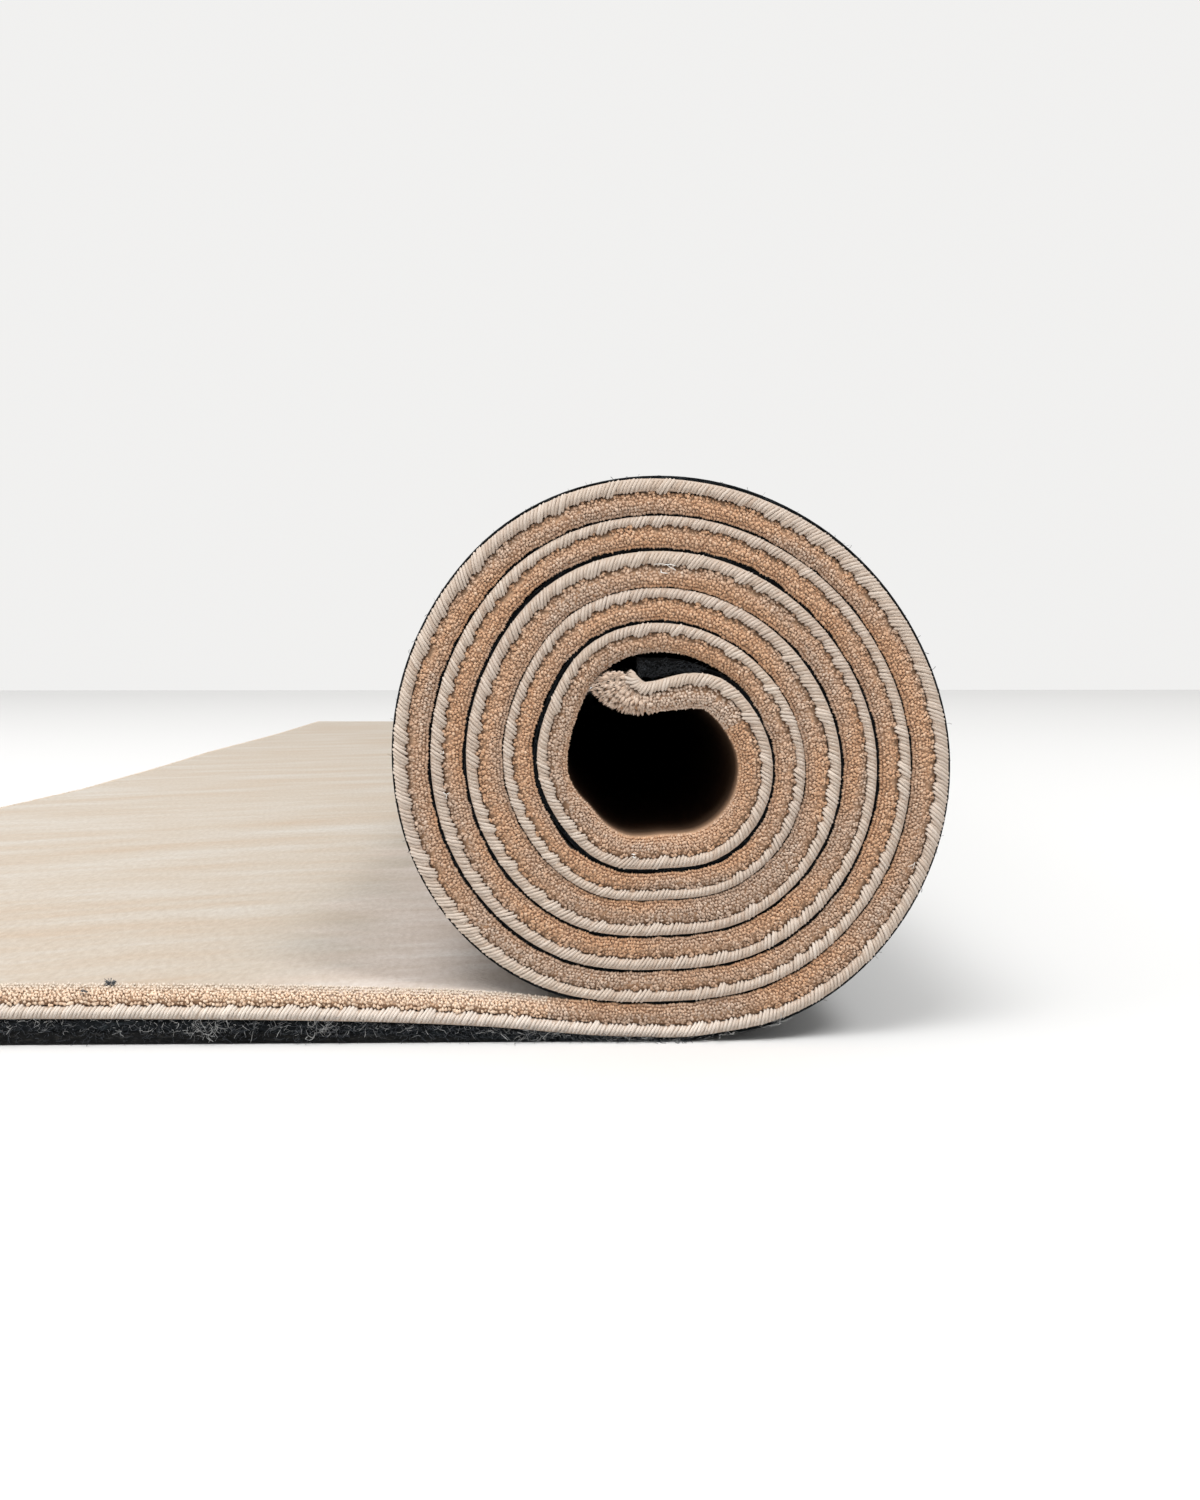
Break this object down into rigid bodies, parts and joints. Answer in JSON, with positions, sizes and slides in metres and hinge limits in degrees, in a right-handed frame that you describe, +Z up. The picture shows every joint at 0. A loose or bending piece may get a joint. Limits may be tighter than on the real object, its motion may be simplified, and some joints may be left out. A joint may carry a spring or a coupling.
{
  "type": "rolled up carpet",
  "caption": "Pile carpet with a dark felt backing and a whipped edge, rolled pile inwards, its outer end lying open on the floor.",
  "frame": {"origin": "on the floor, on the flat spot under the roll's axis, at the middle of the roll's length", "axes": "+Y along the roll's axis away from the end that the picture shows, +X to the right seen from that end, with the open end lying towards -X, +Z up"},
  "size_m": [0.4999, 1.7, 0.1752],
  "materials": {
    "wool_pile": "matte cut wool pile in a warm beige",
    "felt": "matte charcoal needle felt with loose grey fibres",
    "whipping_yarn": "matte pale beige wool yarn in slanting wraps"
  },
  "bodies": {
    "root": {"carpet": "wool_pile", "felt_backing": "felt", "edge_binding": "whipping_yarn"}
  },
  "joints": []
}
